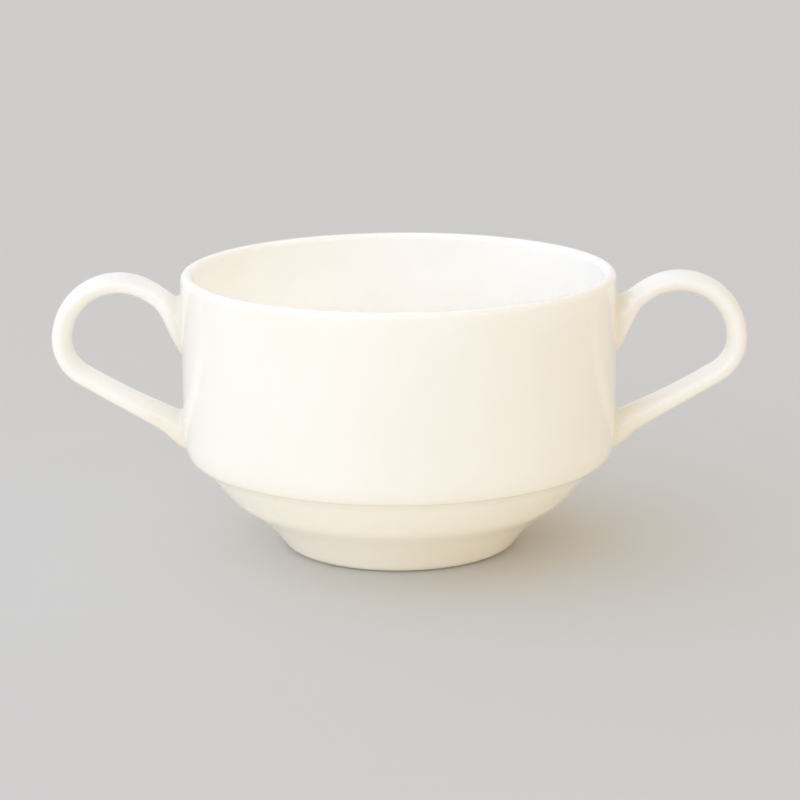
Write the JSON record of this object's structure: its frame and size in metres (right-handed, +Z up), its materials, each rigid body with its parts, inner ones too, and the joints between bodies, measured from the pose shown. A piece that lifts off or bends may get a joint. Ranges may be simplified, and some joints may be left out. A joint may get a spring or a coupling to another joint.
{
  "type": "stackable soup cup",
  "caption": "Stackable round soup cup in glazed porcelain, with a straight wall, a stepped bowl on a small foot, and a looped handle on each side.",
  "frame": {"origin": "middle of the foot ring's underside, on the table", "axes": "+Z up along the cup's axis, +X through the right handle, so the handles lie along X"},
  "size_m": [0.1668, 0.104, 0.067],
  "materials": {
    "porcelain": "clear gloss glaze on ivory porcelain",
    "fired_slip": "fired slip under the same gloss glaze"
  },
  "bodies": {
    "root": {"cup_body": "porcelain", "handle_left": "porcelain", "handle_right": "porcelain", "slip_joint_upper_left": "fired_slip", "slip_joint_lower_left": "fired_slip", "slip_joint_upper_right": "fired_slip", "slip_joint_lower_right": "fired_slip"}
  },
  "joints": []
}
